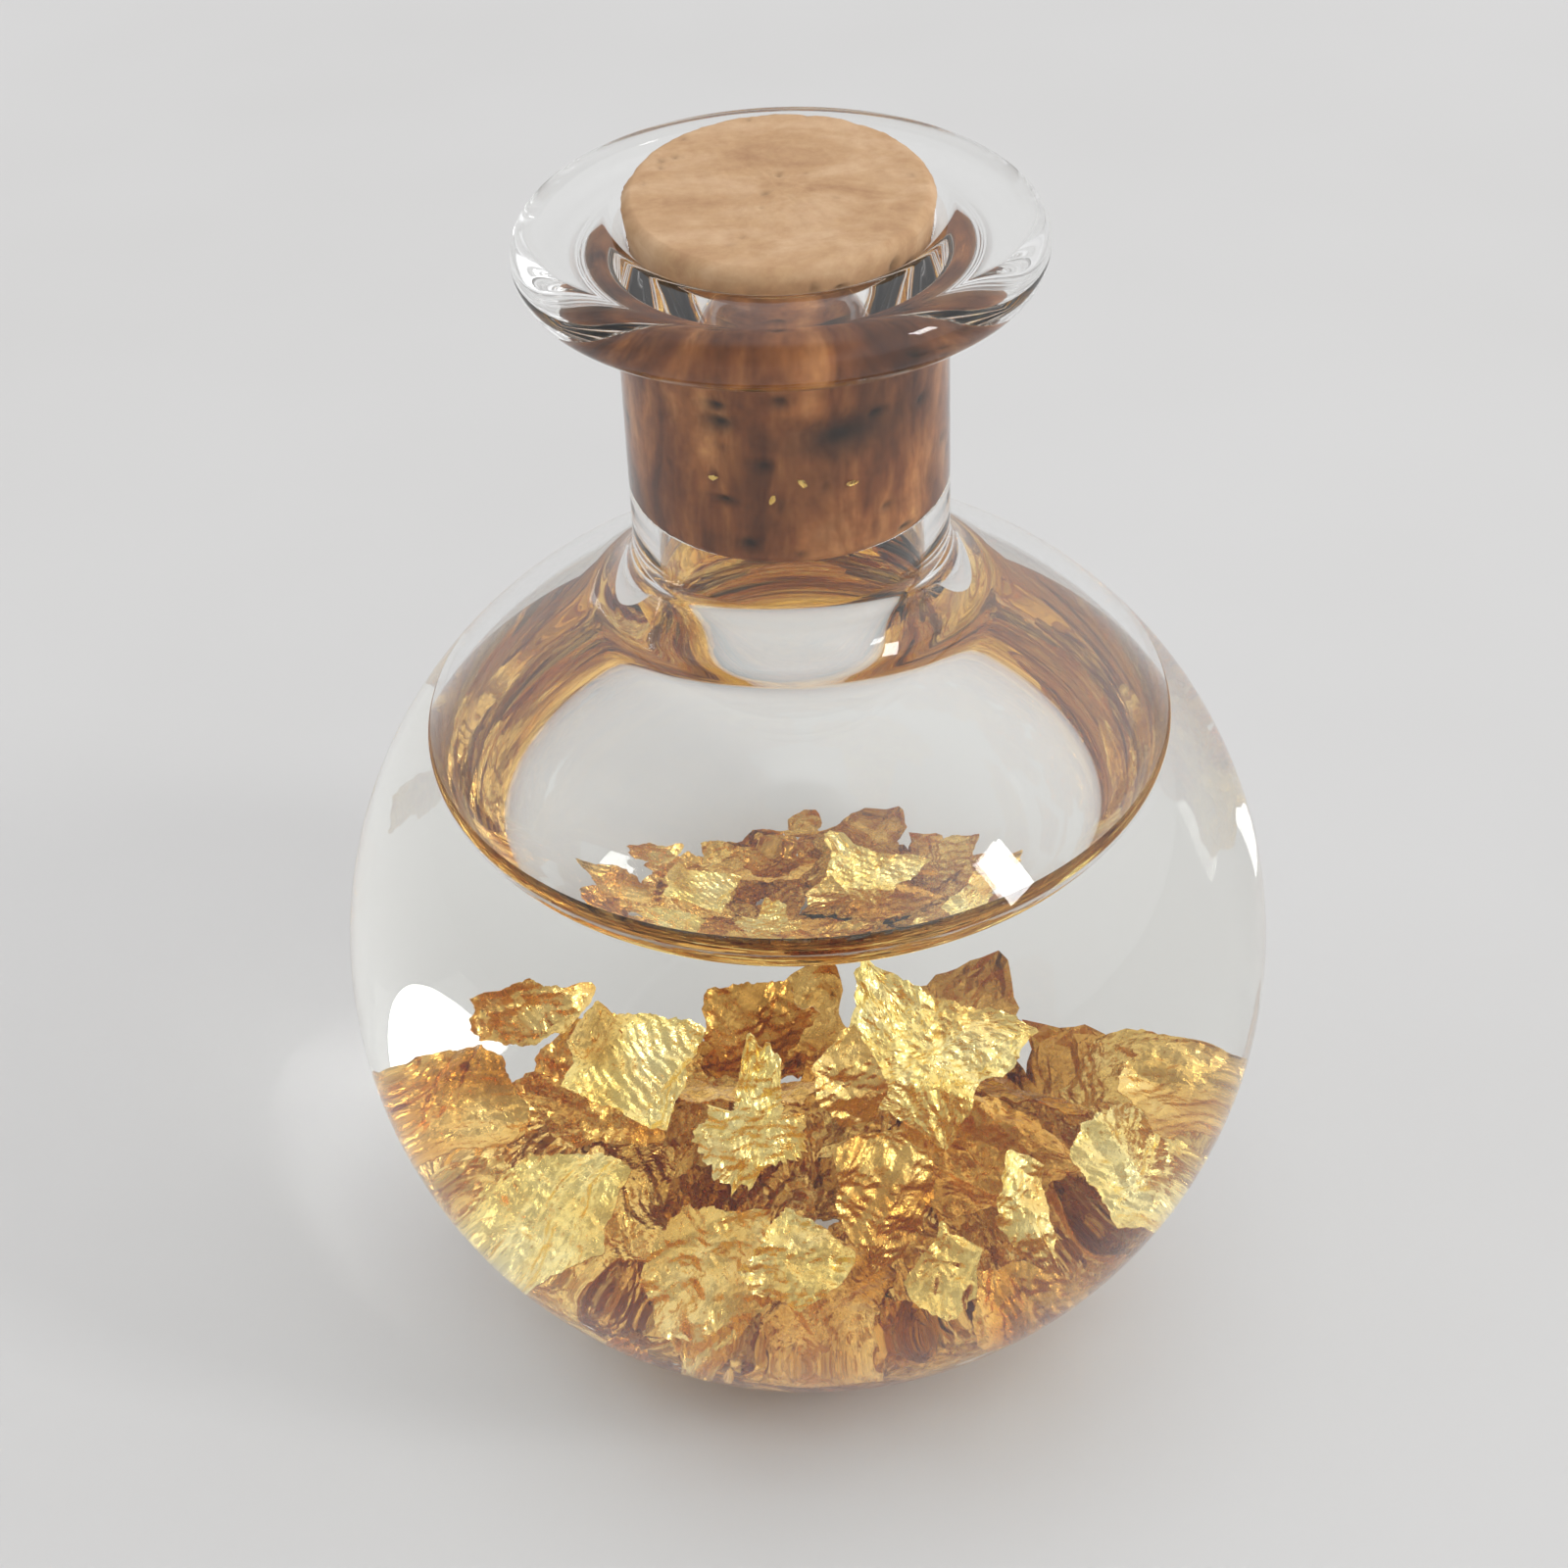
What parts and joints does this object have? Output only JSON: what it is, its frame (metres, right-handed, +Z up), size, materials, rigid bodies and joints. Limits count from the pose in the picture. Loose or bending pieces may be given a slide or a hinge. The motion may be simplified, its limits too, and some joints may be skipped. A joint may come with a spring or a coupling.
{
  "type": "gold sample vial",
  "caption": "Small round glass ball bottle with a short neck, flared lip and tapered cork, part filled with clear liquid and loose crinkled gold leaf.",
  "frame": {"origin": "centre of the flat base's underside", "axes": "+Z up along the bottle's axis, out of the mouth"},
  "size_m": [0.025, 0.025, 0.0343],
  "materials": {
    "glass": "clear, smooth blown glass, fire polished",
    "cork": "natural cork, matt, with dark pits and streaks",
    "liquid": "clear, very faintly warm liquid",
    "gold_leaf": "crinkled bright gold leaf"
  },
  "bodies": {
    "bottle": {"glass_bottle": "glass"},
    "stopper": {"cork_stopper": "cork", "gold_speck_01": "gold_leaf", "gold_speck_02": "gold_leaf", "gold_speck_03": "gold_leaf", "gold_speck_04": "gold_leaf", "gold_speck_05": "gold_leaf"},
    "contents": {"liquid_fill": "liquid", "gold_flake_01": "gold_leaf", "gold_flake_02": "gold_leaf", "gold_flake_03": "gold_leaf", "gold_flake_04": "gold_leaf", "gold_flake_05": "gold_leaf", "gold_flake_06": "gold_leaf", "gold_flake_07": "gold_leaf", "gold_flake_08": "gold_leaf", "gold_flake_09": "gold_leaf", "gold_flake_10": "gold_leaf", "gold_flake_11": "gold_leaf", "gold_flake_12": "gold_leaf", "gold_flake_13": "gold_leaf", "gold_flake_14": "gold_leaf", "gold_flake_15": "gold_leaf", "gold_flake_16": "gold_leaf", "gold_flake_17": "gold_leaf", "gold_flake_18": "gold_leaf", "gold_flake_19": "gold_leaf", "gold_flake_20": "gold_leaf", "gold_flake_21": "gold_leaf", "gold_flake_22": "gold_leaf", "gold_flake_23": "gold_leaf", "gold_flake_24": "gold_leaf", "gold_flake_25": "gold_leaf", "gold_flake_26": "gold_leaf", "gold_flake_27": "gold_leaf", "gold_flake_28": "gold_leaf", "gold_flake_29": "gold_leaf", "gold_flake_30": "gold_leaf", "gold_flake_31": "gold_leaf", "gold_flake_32": "gold_leaf", "gold_flake_33": "gold_leaf", "gold_flake_34": "gold_leaf", "gold_flake_35": "gold_leaf", "gold_flake_36": "gold_leaf", "gold_flake_37": "gold_leaf", "gold_flake_38": "gold_leaf", "gold_flake_39": "gold_leaf", "gold_flake_40": "gold_leaf", "gold_flake_41": "gold_leaf", "gold_flake_42": "gold_leaf", "gold_flake_43": "gold_leaf", "gold_flake_44": "gold_leaf"}
  },
  "joints": [
    {"name": "stopper_pull", "type": "slide", "parent": "bottle", "child": "stopper", "axis": [0, 0, 1], "range_m": [0, 0.012]},
    {"name": "contents_swirl", "type": "hinge", "parent": "bottle", "child": "contents", "pos_m": [0, 0, 0.0117], "axis": [0, 0, 1], "continuous": true}
  ]
}
